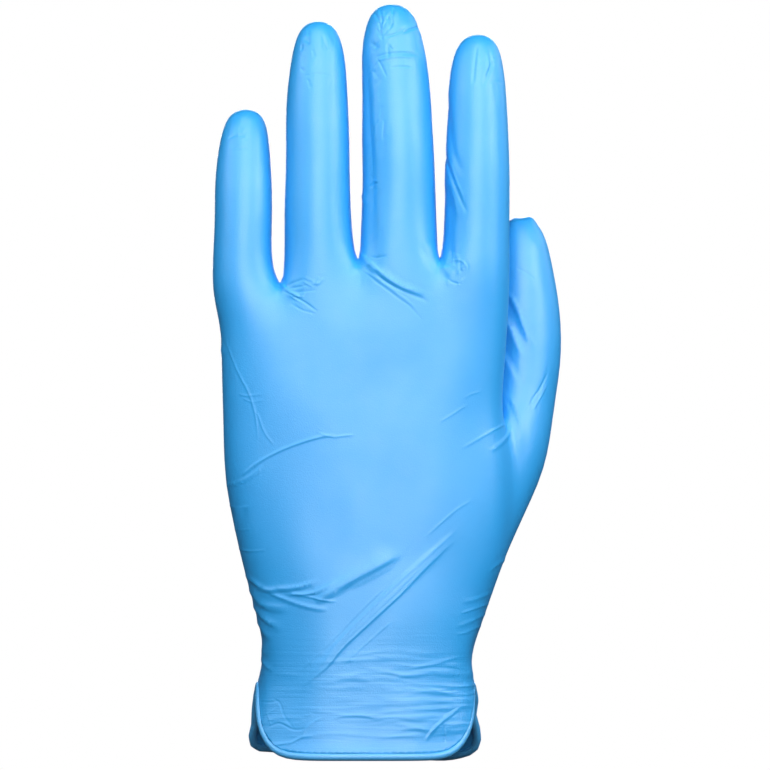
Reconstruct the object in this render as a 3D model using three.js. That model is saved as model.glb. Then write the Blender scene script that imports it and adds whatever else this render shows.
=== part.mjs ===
// A disposable exam glove, as it looks on the left hand: one dipped film with four finger stalls, a thumb
// stall, a palm, a back and a cuff whose rim is rolled into a bead. It is open at the wrist and hollow to
// each fingertip. Millimetres. +Z runs from the cuff to the fingertips, -Y is the back of the hand, +X is
// the thumb's side. The origin is the middle of the wrist opening, level with the rim's lowest edge.
import * as THREE from 'three';

// The film and its rolled rim.
const filmWall = 1;
const beadDiameter = 2.6;

// The glove's overall sizes, which the tables below take shares of.
const gloveLength = 240;
const palmWidth = 94;
const palmDepth = 30;

// The rim hangs lowest over the palm, a little higher over the back, and climbs at both sides of the
// wrist.
const rimHeight = 1.75;
const backRimLift = 2;
const palmRimTilt = 1.5;
const rimClimb = 36;
const rimPeakShare = 0.85;
const backCornerSharpness = 16;
const palmCornerSharpness = 26;

// The folds of the film stand this high and this far to each side of their crest.
const foldHeight = 1;
const foldHalfWidth = 3.2;
const foldStep = 1.9;

// Makes a row of named values from each row of a table whose columns are named in its first line.
function table(names, rows) {
  const columnNames = names.split(' ');
  return rows.map((row) => Object.fromEntries(columnNames.map((name, i) => [name, row[i]])));
}

// The four finger stalls, from the little finger's to the index finger's. A stall's centre and width are
// shares of the palm's width, and its depth is a share of the palm's depth. Its base, its tip and the web
// on the thumb's side of it are shares of the glove's length. webShift moves that web towards the thumb,
// as a share of the palm's width. bow carries the tip towards the palm and lean carries it towards the
// thumb, as shares of the palm's depth.
const stalls = table('centre width depth base web webShift tip bow lean', [
  [-0.415, 0.194, 0.57, 0.62, 0.623, 0.016, 0.8625, 0.26, 0.03],
  [-0.162, 0.218, 0.63, 0.645, 0.658, 0.01, 0.978, 0.23, 0],
  [0.113, 0.244, 0.68, 0.655, 0.658, -0.006, 1, 0.2, -0.09],
  [0.372, 0.216, 0.65, 0.645, 0.62, 0, 0.96, 0.17, 0.01],
]);

// Sections of the hand part, from the rim to the webs. up is a share of the glove's length, and follow is
// the share of the rim's climb that the section still follows. left and right are shares of the palm's
// width, back and palmar of its depth. backSpread and palmSpread widen each layer past the two sides.
// square is how boxy the section is: 2 is an ellipse. thenar and heel are the swellings under the thumb
// and the little finger, as shares of the depth.
const sections = table('up follow left right back palmar backSpread palmSpread square thenar heel', [
  [0, 1, 0.352, 0.35, 0.77, 0.79, 0.034, 0.055, 3, 0, 0],
  [0.03, 0.89, 0.344, 0.346, 0.74, 0.76, 0.024, 0.026, 3, 0, 0],
  [0.07, 0.7, 0.344, 0.352, 0.69, 0.715, 0.012, 0.012, 2.8, 0, 0],
  [0.108, 0.48, 0.35, 0.364, 0.66, 0.69, 0, 0, 2.7, 0, 0],
  [0.148, 0.28, 0.362, 0.386, 0.64, 0.69, 0, 0, 2.6, 0.03, 0.03],
  [0.186, 0.12, 0.375, 0.407, 0.62, 0.69, 0, 0, 2.6, 0.08, 0.06],
  [0.224, 0.03, 0.394, 0.434, 0.59, 0.68, 0, 0, 2.6, 0.15, 0.08],
  [0.265, 0, 0.418, 0.468, 0.56, 0.65, 0, 0, 2.6, 0.22, 0.09],
  [0.35, 0, 0.468, 0.5, 0.51, 0.57, 0, 0, 2.6, 0.2, 0.07],
  [0.435, 0, 0.483, 0.456, 0.46, 0.49, 0, 0, 2.7, 0.06, 0.04],
  [0.5, 0, 0.484, 0.462, 0.425, 0.45, 0, 0, 2.9, 0, 0.02],
  [0.56, 0, 0.484, 0.474, 0.4, 0.42, 0, 0, 3.2, 0, 0],
]);
const thumbSection = 7;

// Rings of a finger stall, from its base to its tip. along is a share of its length, width and depth of
// its own.
const stallRings = table('along width depth', [
  [0.12, 1.03, 1.03],
  [0.35, 1, 0.99],
  [0.56, 0.99, 0.95],
  [0.74, 0.92, 0.89],
  [0.87, 0.81, 0.77],
  [0.955, 0.63, 0.6],
  [1, 0.3, 0.28],
]);

// Rings of the thumb stall. out, width and depth are shares of the palm's width, palmar of its depth, up
// of the glove's length, and tilt leans the ring, in degrees.
const thumbTurn = 30;
const thumbRings = table('up out palmar tilt width depth', [
  [0.418, 0.5, 0.43, 63, 0.33, 0.27],
  [0.466, 0.517, 0.55, 30, 0.262, 0.245],
  [0.528, 0.533, 0.65, 4, 0.236, 0.228],
  [0.594, 0.537, 0.73, -5, 0.228, 0.224],
  [0.656, 0.526, 0.79, -8, 0.206, 0.205],
  [0.7, 0.518, 0.82, -8, 0.166, 0.162],
  [0.7165, 0.516, 0.83, -8, 0.086, 0.08],
]);
const thumbTipRise = 0.004;

// The main folds of the film over the back of the hand, each a rounded ridge along a line of points. A
// point is a share of the palm's width across and of the glove's length up. half and height are shares of
// the fold's sizes.
const folds = table('half height path', [
  [1, 1.1, [[0.306, 0.307], [0.118, 0.241], [0.01, 0.197], [-0.208, 0.109]]],
  [1.37, 1.3, [[-0.124, 0.222], [-0.037, 0.242], [0.094, 0.265]]],
  [0.95, 0.9, [[-0.386, 0.236], [-0.326, 0.226], [-0.249, 0.227], [-0.158, 0.236]]],
  [0.95, 0.8, [[-0.306, 0.22], [-0.202, 0.207], [-0.124, 0.205]]],
  [0.95, 0.9, [[-0.366, 0.199], [-0.333, 0.186], [-0.299, 0.176]]],
  [1.16, 0.6, [[-0.45, 0.368], [-0.353, 0.399], [-0.289, 0.412], [-0.151, 0.431], [-0.047, 0.432]]],
  [1, 0.9, [[0.003, 0.644], [0.148, 0.603], [0.191, 0.582]]],
  [1, 0.7, [[0.353, 0.423], [0.44, 0.442]]],
]);

const stallSides = 8;
const radians = THREE.MathUtils.degToRad;

// How far one round of smoothing pulls a ring of this many points inwards.
const ringGrowth = 1 / (0.75 + Math.cos((2 * Math.PI) / stallSides) / 4);

// A cage of points and four-sided faces, which is smoothed into the film's surface.
const cage = { points: [], faces: [] };

function addPoint(x, y, z) {
  cage.points.push(new THREE.Vector3(x, y, z));
  return cage.points.length - 1;
}

// Joins two loops of points, the second further from the wrist, with a band of faces.
function addBand(lower, upper, skip = () => false) {
  lower.forEach((a, i) => {
    const next = (i + 1) % lower.length;
    if (!skip(i)) cage.faces.push([a, lower[next], upper[next], upper[i]]);
  });
}

function addTip(loop, centre) {
  for (let i = 0; i < loop.length; i += 2) {
    cage.faces.push([loop[i], loop[i + 1], loop[(i + 2) % loop.length], centre]);
  }
}

// Each stall in millimetres.
const places = stalls.map((s) => ({
  centre: s.centre * palmWidth,
  width: s.width * palmWidth,
  depth: s.depth * palmDepth,
  base: s.base * gloveLength,
  web: s.web * gloveLength,
  tip: s.tip * gloveLength,
  bow: s.bow * palmDepth,
  lean: s.lean * palmDepth,
}));
const webAcross = places.slice(1).map((s, k) => {
  const before = places[k];
  return (before.centre + before.width / 2 + s.centre - s.width / 2) / 2 + stalls[k].webShift * palmWidth;
});
const palmLeft = places[0].centre - places[0].width / 2;
const palmRight = places.at(-1).centre + places.at(-1).width / 2;

// The cage's columns go once round the hand from the little finger's side: across the back to the thumb's
// side, and across the palm the other way. Between two corners they run up to each stall's middle and
// each web in turn. across is -1 at one side and 1 at the other.
const frontColumns = 2 * stalls.length + 1;
const sideColumn = { little: 0, thumb: frontColumns + 1 };
const columns = 2 * sideColumn.thumb;
const backColumn = (i) => 1 + i;
const palmColumn = (i) => columns - 1 - i;
const cornerAcross = 0.94;
const acrossOf = (x) => (2 * (x - palmLeft)) / (palmRight - palmLeft) - 1;
const frontAcross = [
  -cornerAcross,
  ...places.flatMap((s, k) => [s.centre, ...webAcross.slice(k, k + 1)].map(acrossOf)),
  cornerAcross,
];
const columnPlaces = Array.from({ length: columns }, (_, c) => {
  if (c === sideColumn.little) return { across: -1, face: 0 };
  if (c === sideColumn.thumb) return { across: 1, face: 0 };
  if (c < sideColumn.thumb) return { across: frontAcross[c - 1], face: -1 };
  return { across: frontAcross[columns - 1 - c], face: 1 };
});

// How far smoothing pulls the two sides of a section inwards.
const sideGrowth = 1 / (0.75 + cornerAcross / 4);

// A swelling's share at a place across the palm, round its middle.
const bump = (across, at) => Math.exp(-(((across - at) / 0.4) ** 2));

function sectionLoop(s) {
  const middle = ((s.right - s.left) * palmWidth) / 2;
  const half = ((s.right + s.left) * palmWidth * sideGrowth) / 2;
  return columnPlaces.map(({ across, face }) => {
    const reach = Math.abs(across);
    const thickness = (1 - reach ** s.square) ** (1 / s.square);
    const swelling = s.thenar * bump(across, 0.6) + s.heel * bump(across, -0.6);
    const depth = face < 0 ? s.back * thickness : s.palmar * thickness + swelling;
    const spread = face < 0 ? s.backSpread : s.palmSpread;
    const sharpness = face < 0 ? backCornerSharpness : palmCornerSharpness;
    const climb = rimClimb * (face === 0 ? rimPeakShare : reach ** sharpness);
    const lift = face < 0 ? backRimLift : palmRimTilt * (1 - across);
    return addPoint(
      middle + across * half + (face === 0 ? 0 : spread * palmWidth * across),
      face * depth * palmDepth,
      rimHeight + s.up * gloveLength + s.follow * (climb + lift * (1 - reach ** 8)),
    );
  });
}

function ellipseLoop(centre, across, through, halfWidth, halfDepth, start) {
  return Array.from({ length: stallSides }, (_, i) => {
    const angle = start + (2 * Math.PI * i) / stallSides;
    const p = centre
      .clone()
      .addScaledVector(across, Math.cos(angle) * halfWidth * ringGrowth)
      .addScaledVector(through, Math.sin(angle) * halfDepth * ringGrowth);
    return addPoint(p.x, p.y, p.z);
  });
}

// The hand part.
const loops = sections.map(sectionLoop);

// The top loop, where the stalls leave the palm: high over each finger, low beside each web.
const topLoop = new Array(columns);
places.forEach((s, k) => {
  topLoop[backColumn(2 * k + 1)] = addPoint(s.centre, -s.depth * 0.58, s.base);
  topLoop[palmColumn(2 * k + 1)] = addPoint(s.centre, s.depth * 0.56, s.base - s.depth * 0.2);
});
const webs = webAcross.map((x, k) => {
  const height = places[k].web;
  const depth = (places[k].depth + places[k + 1].depth) / 2;
  topLoop[backColumn(2 * k + 2)] = addPoint(x, -depth * 0.48, height - depth * 0.25);
  topLoop[palmColumn(2 * k + 2)] = addPoint(x, depth * 0.46, height - depth * 0.3);
  return addPoint(x, 0, height);
});
for (const [s, side, corner, column] of [
  [places[0], -1, 0, sideColumn.little],
  [places.at(-1), 1, frontColumns - 1, sideColumn.thumb],
]) {
  const reach = (side * s.width * ringGrowth) / 2;
  topLoop[column] = addPoint(s.centre + reach, 0, s.base - s.depth * 0.1);
  topLoop[backColumn(corner)] = addPoint(s.centre + reach * 0.76, -s.depth * 0.42, s.base - s.depth * 0.05);
  topLoop[palmColumn(corner)] = addPoint(s.centre + reach * 0.76, s.depth * 0.42, s.base - s.depth * 0.15);
}
loops.push(topLoop);

const inThumbHole = (row, column) =>
  (row === thumbSection || row === thumbSection + 1) &&
  (column === sideColumn.thumb || column === sideColumn.thumb + 1);
for (let row = 0; row + 1 < loops.length; row++) {
  addBand(loops[row], loops[row + 1], (column) => inThumbHole(row, column));
}

// The finger stalls.
const along = new THREE.Vector3(1, 0, 0);
const through = new THREE.Vector3(0, 1, 0);
places.forEach((s, k) => {
  const centreAt = (share) => {
    const bend = share * share;
    return new THREE.Vector3(s.centre + s.lean * bend, s.bow * bend, s.base + (s.tip - s.base) * share);
  };
  let loop = [
    topLoop[backColumn(2 * k)],
    topLoop[backColumn(2 * k + 1)],
    topLoop[backColumn(2 * k + 2)],
    webs[k] ?? topLoop[sideColumn.thumb],
    topLoop[palmColumn(2 * k + 2)],
    topLoop[palmColumn(2 * k + 1)],
    topLoop[palmColumn(2 * k)],
    webs[k - 1] ?? topLoop[sideColumn.little],
  ];
  for (const r of stallRings) {
    const halfWidth = (s.width * r.width) / 2;
    const halfDepth = (s.depth * r.depth) / 2;
    const next = ellipseLoop(centreAt(r.along), along, through, halfWidth, halfDepth, radians(225));
    addBand(loop, next);
    loop = next;
  }
  const tip = centreAt(1);
  addTip(loop, addPoint(tip.x, tip.y, tip.z));
});

// The thumb stall, from the hole in the palm's side.
const turn = radians(thumbTurn);
const outward = new THREE.Vector3(Math.cos(turn), Math.sin(turn), 0);
const towardsPalm = new THREE.Vector3(-Math.sin(turn), Math.cos(turn), 0);
const low = loops[thumbSection];
const middle = loops[thumbSection + 1];
const high = loops[thumbSection + 2];
const first = sideColumn.thumb;
let thumbLoop = [
  low[first + 1],
  low[first + 2],
  middle[first + 2],
  high[first + 2],
  high[first + 1],
  high[first],
  middle[first],
  low[first],
];
const thumbCentre = (r) => new THREE.Vector3(r.out * palmWidth, r.palmar * palmDepth, r.up * gloveLength);
for (const r of thumbRings) {
  const tilt = radians(r.tilt);
  const across = outward.clone().multiplyScalar(Math.cos(tilt));
  across.z = -Math.sin(tilt);
  const halfWidth = (palmWidth * r.width) / 2;
  const halfDepth = (palmWidth * r.depth) / 2;
  const next = ellipseLoop(thumbCentre(r), across, towardsPalm, halfWidth, halfDepth, 0);
  addBand(thumbLoop, next);
  thumbLoop = next;
}
const thumbEnd = thumbCentre(thumbRings.at(-1));
addTip(thumbLoop, addPoint(thumbEnd.x, thumbEnd.y, thumbEnd.z + thumbTipRise * gloveLength));

// One round of Catmull-Clark smoothing: each face gets a point, each edge gets a point, and each old
// point moves to the weighted middle of what surrounds it. The open rim is smoothed along itself.
function smooth({ points, faces }) {
  const facePoints = faces.map((face) =>
    face.reduce((sum, i) => sum.add(points[i]), new THREE.Vector3()).divideScalar(face.length),
  );
  const edges = new Map();
  faces.forEach((face, f) =>
    face.forEach((a, i) => {
      const b = face[(i + 1) % face.length];
      const key = a < b ? `${a},${b}` : `${b},${a}`;
      if (!edges.has(key)) edges.set(key, { a, b, faces: [] });
      edges.get(key).faces.push(f);
    }),
  );
  const made = [];
  const zero = () => new THREE.Vector3();
  const corners = points.map(() => ({ faces: zero(), edges: zero(), rim: [], n: 0 }));
  for (const [key, e] of edges) {
    const middlePoint = points[e.a].clone().add(points[e.b]).divideScalar(2);
    if (e.faces.length === 1) {
      corners[e.a].rim.push(middlePoint);
      corners[e.b].rim.push(middlePoint);
    }
    for (const i of [e.a, e.b]) {
      corners[i].edges.add(middlePoint);
      corners[i].n += 1;
    }
    const around = e.faces.map((f) => facePoints[f]);
    const point = middlePoint.clone();
    if (around.length === 2) point.lerp(around[0].clone().add(around[1]).divideScalar(2), 0.5);
    edges.set(key, made.push(point) - 1);
  }
  faces.forEach((face, f) => face.forEach((i) => corners[i].faces.add(facePoints[f])));
  const moved = points.map((p, i) => {
    const c = corners[i];
    if (c.rim.length === 2) return p.clone().multiplyScalar(2).add(c.rim[0]).add(c.rim[1]).divideScalar(4);
    return c.faces
      .clone()
      .divideScalar(c.n)
      .add(c.edges.clone().multiplyScalar(2 / c.n))
      .addScaledVector(p, c.n - 3)
      .divideScalar(c.n);
  });
  const firstEdge = points.length;
  const firstFace = firstEdge + made.length;
  const split = [];
  const edgeOf = (a, b) => firstEdge + edges.get(a < b ? `${a},${b}` : `${b},${a}`);
  faces.forEach((face, f) =>
    face.forEach((a, i) => {
      const b = face[(i + 1) % face.length];
      const z = face[(i + face.length - 1) % face.length];
      split.push([a, edgeOf(a, b), firstFace + f, edgeOf(z, a)]);
    }),
  );
  return { points: [...moved, ...made, ...facePoints], faces: split };
}

// Drops the points that no face uses, such as the one inside the thumb's hole.
function compact({ points, faces }) {
  const used = new Map();
  const kept = [];
  const renumbered = faces.map((face) =>
    face.map((i) => {
      if (!used.has(i)) used.set(i, kept.push(points[i]) - 1);
      return used.get(i);
    }),
  );
  return { points: kept, faces: renumbered };
}

function normalsOf({ points, faces }) {
  const normals = points.map(() => new THREE.Vector3());
  faces.forEach((face) => {
    const [a, b, c, d = face[0]] = face;
    const normal = points[c].clone().sub(points[a]).cross(points[d].clone().sub(points[b]));
    for (const i of face) normals[i].add(normal);
  });
  return normals.map((n) => n.normalize());
}

const foldLines = folds.map((f) => ({
  half: f.half * foldHalfWidth,
  height: f.height * foldHeight,
  path: f.path.map(([x, z]) => new THREE.Vector2(x * palmWidth, z * gloveLength)),
}));

// How far a point lies from a fold's line, seen from the back of the hand.
function awayFrom(line, point) {
  const p = new THREE.Vector2(point.x, point.z);
  return Math.min(
    ...line.path.slice(1).map((to, i) => {
      const from = line.path[i];
      const run = to.clone().sub(from);
      const share = THREE.MathUtils.clamp(p.clone().sub(from).dot(run) / run.lengthSq(), 0, 1);
      return p.distanceTo(run.multiplyScalar(share).add(from));
    }),
  );
}

const splitInTwo = ([a, b, c, d]) => [[a, b, c], [a, c, d]];

// Halves the long edges that run near a fold, so that the fold has points to be shaped by.
function refine({ points, faces }, rim) {
  const halves = new Map();
  const halfway = (a, b) => {
    const key = a < b ? `${a},${b}` : `${b},${a}`;
    if (!halves.has(key)) {
      const length = points[a].distanceTo(points[b]);
      const centre = points[a].clone().add(points[b]).divideScalar(2);
      const onRim = rim.has(a) && rim.has(b);
      const near = foldLines.some((line) => awayFrom(line, centre) < line.half + length / 3);
      const wanted = centre.y < -filmWall && length > foldStep && near && !onRim;
      halves.set(key, wanted ? points.push(centre) - 1 : undefined);
    }
    return halves.get(key);
  };
  const made = [];
  for (const [a, b, c] of faces) {
    const halved = [halfway(a, b), halfway(b, c), halfway(c, a)];
    const ring = [a, b, c].flatMap((corner, i) => [
      { point: corner, half: false },
      { point: halved[i], half: true },
    ]);
    const around = ring.filter((place) => place.point !== undefined);
    const kept = around.filter((place, i) => {
      const before = around.at(i - 1);
      const after = around[(i + 1) % around.length];
      const ear = !place.half && before.half && after.half;
      if (ear) made.push([before.point, place.point, after.point]);
      return !ear;
    });
    const start = Math.max(0, kept.findIndex((place) => place.half));
    const fan = [...kept.slice(start), ...kept.slice(0, start)].map((place) => place.point);
    for (let i = 1; i + 1 < fan.length; i++) made.push([fan[0], fan[i], fan[i + 1]]);
  }
  return { points, faces: made };
}

// Raises the folds on the points that face the back of the hand.
function raiseFolds(surface) {
  const normals = normalsOf(surface);
  const points = surface.points.map((p, i) => {
    const facing = THREE.MathUtils.smoothstep(-normals[i].y, 0, 0.5);
    const rise = Math.max(
      ...foldLines.map((line) => {
        const away = Math.min(1, awayFrom(line, p) / line.half);
        return line.height * (1 - away * away) ** 2;
      }),
    );
    return p.clone().addScaledVector(normals[i], rise * facing);
  });
  return { points, faces: surface.faces };
}

// The rim's points in order, found from the edges that have one face.
function rimLoop({ faces }) {
  const sides = new Map();
  for (const face of faces) {
    face.forEach((a, i) => {
      const b = face[(i + 1) % face.length];
      sides.set(`${a},${b}`, [a, b]);
    });
  }
  const step = new Map();
  for (const [a, b] of sides.values()) if (!sides.has(`${b},${a}`)) step.set(a, b);
  const start = step.keys().next().value;
  const loop = [start];
  while (step.get(loop.at(-1)) !== start) loop.push(step.get(loop.at(-1)));
  return loop;
}

// Closes the surface into a film: an inner face one wall inside it, and a round bead that joins the two
// at the rim.
function closeFilm(surface) {
  const normals = normalsOf(surface);
  const inner = surface.points.map((p, i) => p.clone().addScaledVector(normals[i], -filmWall));
  const rim = rimLoop(surface);
  let outer = { points: [...surface.points], faces: surface.faces.flatMap(splitInTwo) };
  for (let round = 0; round < 2; round++) outer = refine(outer, new Set(rim));
  outer = raiseFolds(outer);
  const points = [...outer.points, ...inner];
  const shift = outer.points.length;
  const faces = [...outer.faces, ...surface.faces.map((face) => [...face].reverse().map((i) => i + shift))];

  const radius = beadDiameter / 2;
  const beadSides = 7;
  const attach = Math.asin(filmWall / beadDiameter);
  let ring = rim;
  const down = rim.map((i, n) => {
    const alongRim = surface.points[rim[(n + 1) % rim.length]].clone().sub(surface.points[rim.at(n - 1)]);
    return alongRim.cross(normals[i]).normalize();
  });
  for (let s = 1; s <= beadSides; s++) {
    const last = s === beadSides;
    const angle = attach + (s / beadSides) * (2 * Math.PI - 2 * attach);
    const nextRing = last
      ? rim.map((i) => i + shift)
      : rim.map((i, n) => {
          const centre = surface.points[i]
            .clone()
            .addScaledVector(normals[i], -filmWall / 2)
            .addScaledVector(down[n], radius * Math.cos(attach));
          points.push(
            centre
              .addScaledVector(normals[i], radius * Math.sin(angle))
              .addScaledVector(down[n], -radius * Math.cos(angle)),
          );
          return points.length - 1;
        });
    ring.forEach((a, n) => {
      const m = (n + 1) % ring.length;
      faces.push([ring[m], a, nextRing[n], nextRing[m]]);
    });
    ring = nextRing;
  }
  return { points, faces };
}

function geometryOf({ points, faces }) {
  const geometry = new THREE.BufferGeometry();
  geometry.setAttribute('position', new THREE.Float32BufferAttribute(points.flatMap((p) => p.toArray()), 3));
  geometry.setIndex(faces.flatMap((face) => (face.length === 3 ? face : splitInTwo(face).flat())));
  geometry.computeVertexNormals();
  return geometry;
}

const nitrile = new THREE.MeshStandardMaterial({ color: 0x5fb4f2, roughness: 0.45, metalness: 0 });
const glove = new THREE.Mesh(geometryOf(closeFilm(compact(smooth(cage)))), nitrile);
glove.name = 'glove';

const group = new THREE.Group();
group.add(glove);

export default group;
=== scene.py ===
# A blue nitrile exam glove, in the form that it has when it is worn, seen from its back.
# Metres, in the glove's own frame: +Z runs from the cuff to the fingertips, -Y is the glove's back, and +X is
# the thumb's side. The wrist opening's middle is the origin.
import math
from types import SimpleNamespace

import bpy
import numpy as np
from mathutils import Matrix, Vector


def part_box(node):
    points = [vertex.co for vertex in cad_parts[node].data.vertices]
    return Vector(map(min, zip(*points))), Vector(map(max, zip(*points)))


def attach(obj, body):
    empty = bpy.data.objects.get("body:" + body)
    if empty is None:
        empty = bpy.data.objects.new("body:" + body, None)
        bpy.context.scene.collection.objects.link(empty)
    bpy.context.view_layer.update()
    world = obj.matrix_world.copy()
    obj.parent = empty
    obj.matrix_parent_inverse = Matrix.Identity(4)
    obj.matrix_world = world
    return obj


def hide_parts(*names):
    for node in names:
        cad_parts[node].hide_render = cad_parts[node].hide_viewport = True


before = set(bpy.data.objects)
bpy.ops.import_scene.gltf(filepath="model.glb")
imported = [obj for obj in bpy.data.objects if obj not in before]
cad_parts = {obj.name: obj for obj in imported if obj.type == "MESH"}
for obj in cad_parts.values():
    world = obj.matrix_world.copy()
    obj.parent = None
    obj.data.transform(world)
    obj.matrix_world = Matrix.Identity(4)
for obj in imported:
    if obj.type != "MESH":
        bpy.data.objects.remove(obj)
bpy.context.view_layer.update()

# The camera looks level at the glove's back through a long lens, from so far away that the fingers, the palm
# and the thumb behind it share one scale. A point of the photograph is a place on the glove through three
# values: how large a pixel is, which column the glove's middle is on, and which row its rim's foot is on.
photo_side = 770
photo_middle_column = 366
photo_foot_row = 763.5
photo_glove_rows = 760
glove_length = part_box("glove")[1][2]
photo_pixel = glove_length / photo_glove_rows
camera_distance = 4.0


def across_photo(column):
    return (column - photo_middle_column) * photo_pixel


def up_photo(row):
    return (photo_foot_row - row) * photo_pixel


camera_data = bpy.data.cameras.new("studio_camera")
camera_data.sensor_width = 36
camera_data.lens = camera_data.sensor_width * camera_distance / (photo_side * photo_pixel)
camera_data.clip_end = 20
camera = bpy.data.objects.new("studio_camera", camera_data)
camera.location = (across_photo(photo_side / 2), -camera_distance, up_photo(photo_side / 2))
camera.rotation_euler = (math.radians(90), 0, 0)
bpy.context.collection.objects.link(camera)
bpy.context.scene.camera = camera

# The glove's film is one dipped skin of nitrile rubber with four finger stalls and a thumb stall. It is made
# as a cage of sections and rings, smoothed by a Subdivision Surface, and then gets its folds point by point.
# It has a true wall, and follows the sizes of the CAD node that it stands for.
film_wall = 0.0009
palm_width = 0.094
palm_depth = 0.030
rim_height = 0.00175
back_rim_lift = 0.002
palm_rim_tilt = 0.0015
rim_climb = 0.036
rim_peak_share = 0.85
back_corner_sharpness = 16
palm_corner_sharpness = 26
rim_lift_sharpness = 8


def table(names, rows):
    return [SimpleNamespace(**dict(zip(names.split(), row))) for row in rows]


# From the little finger's stall to the index finger's. centre, width and web_shift are shares of the palm's
# width, depth, bow and lean of its depth, and base, web and tip of the glove's length.
stalls = table("centre width depth base web web_shift tip bow lean", [
    (-0.415, 0.194, 0.57, 0.62, 0.623, 0.016, 0.8625, 0.26, 0.03),
    (-0.162, 0.218, 0.63, 0.645, 0.658, 0.01, 0.978, 0.23, 0),
    (0.113, 0.244, 0.68, 0.655, 0.658, -0.006, 1, 0.2, -0.09),
    (0.372, 0.216, 0.65, 0.645, 0.62, 0, 0.96, 0.17, 0.01),
])
for stall in stalls:
    for name in ("centre", "width", "web_shift"):
        setattr(stall, name, getattr(stall, name) * palm_width)
    for name in ("depth", "bow", "lean"):
        setattr(stall, name, getattr(stall, name) * palm_depth)
    for name in ("base", "web", "tip"):
        setattr(stall, name, getattr(stall, name) * glove_length)

# Sections from the rim to the webs, with the swellings under the thumb (thenar) and the little finger (heel).
# up is a share of the glove's length, follow how far a section follows the rim's climb at the sides, left,
# right and the spreads are shares of the palm's width, and back, palmar and the swellings of its depth.
sections = table("up follow left right back palmar back_spread palm_spread square thenar heel", [
    (0, 1, 0.352, 0.35, 0.77, 0.79, 0.034, 0.055, 3, 0, 0),
    (0.03, 0.89, 0.344, 0.346, 0.74, 0.76, 0.024, 0.026, 3, 0, 0),
    (0.07, 0.7, 0.344, 0.352, 0.69, 0.715, 0.012, 0.012, 2.8, 0, 0),
    (0.108, 0.48, 0.35, 0.364, 0.66, 0.69, 0, 0, 2.7, 0, 0),
    (0.148, 0.28, 0.362, 0.386, 0.64, 0.69, 0, 0, 2.6, 0.03, 0.03),
    (0.186, 0.12, 0.375, 0.407, 0.62, 0.69, 0, 0, 2.6, 0.08, 0.06),
    (0.224, 0.03, 0.394, 0.434, 0.59, 0.68, 0, 0, 2.6, 0.15, 0.08),
    (0.265, 0, 0.418, 0.468, 0.56, 0.65, 0, 0, 2.6, 0.22, 0.09),
    (0.35, 0, 0.468, 0.5, 0.51, 0.57, 0, 0, 2.6, 0.2, 0.07),
    (0.435, 0, 0.483, 0.456, 0.46, 0.49, 0, 0, 2.7, 0.06, 0.04),
    (0.5, 0, 0.484, 0.462, 0.425, 0.45, 0, 0, 2.9, 0, 0.02),
    (0.56, 0, 0.484, 0.474, 0.4, 0.42, 0, 0, 3.2, 0, 0),
])
thumb_section = 7
swelling_place = 0.6
swelling_reach = 0.4

stall_rings = table("along width depth", [
    (0.12, 1.03, 1.03),
    (0.35, 1, 0.99),
    (0.56, 0.99, 0.95),
    (0.74, 0.92, 0.89),
    (0.87, 0.81, 0.77),
    (0.955, 0.63, 0.6),
    (0.992, 0.34, 0.32),
])
thumb_rings = table("up out palmar tilt width depth", [
    (0.418, 0.5, 0.43, 63, 0.33, 0.27),
    (0.466, 0.517, 0.55, 30, 0.262, 0.245),
    (0.528, 0.533, 0.65, 4, 0.236, 0.228),
    (0.594, 0.537, 0.73, -5, 0.228, 0.224),
    (0.656, 0.526, 0.79, -8, 0.206, 0.205),
    (0.7, 0.518, 0.82, -8, 0.166, 0.162),
    (0.7165, 0.516, 0.83, -8, 0.086, 0.08),
])
thumb_turn = math.radians(30)
thumb_tip_rise = 0.004
finger_tip_rise = 0.0045

# A ring of points, and a section's sides, shrink when the cage is smoothed to its limit, so both are made
# larger by these shares.
stall_sides = 8
ring_growth = 1 / (2 / 3 + math.cos(2 * math.pi / stall_sides) / 3)
corner_across = 0.94
side_growth = 6 / (4 + 2 * corner_across)

cage_points, cage_faces = [], []


def add_point(x, y, z):
    cage_points.append((x, y, z))
    return len(cage_points) - 1


def add_band(lower, upper, skip=()):
    for i, corner in enumerate(lower):
        after = (i + 1) % len(lower)
        if i not in skip:
            cage_faces.append((corner, lower[after], upper[after], upper[i]))


def add_tip(loop, centre):
    for i in range(0, len(loop), 2):
        cage_faces.append((loop[i], loop[i + 1], loop[(i + 2) % len(loop)], centre))


# The columns go once round: across the back from the little finger's side, and back across the palm.
front_columns = 2 * len(stalls) + 1
little_column, thumb_column = 0, front_columns + 1
columns = 2 * thumb_column
web_across = [
    (a.centre + a.width / 2 + b.centre - b.width / 2) / 2 + a.web_shift for a, b in zip(stalls, stalls[1:])
]
palm_left = stalls[0].centre - stalls[0].width / 2
palm_right = stalls[-1].centre + stalls[-1].width / 2
front_places = sorted([s.centre for s in stalls] + web_across)
front_across = [2 * (x - palm_left) / (palm_right - palm_left) - 1 for x in front_places]
front_across = [-corner_across, *front_across, corner_across]


def back_column(i):
    return 1 + i


def palm_column(i):
    return columns - 1 - i


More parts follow.
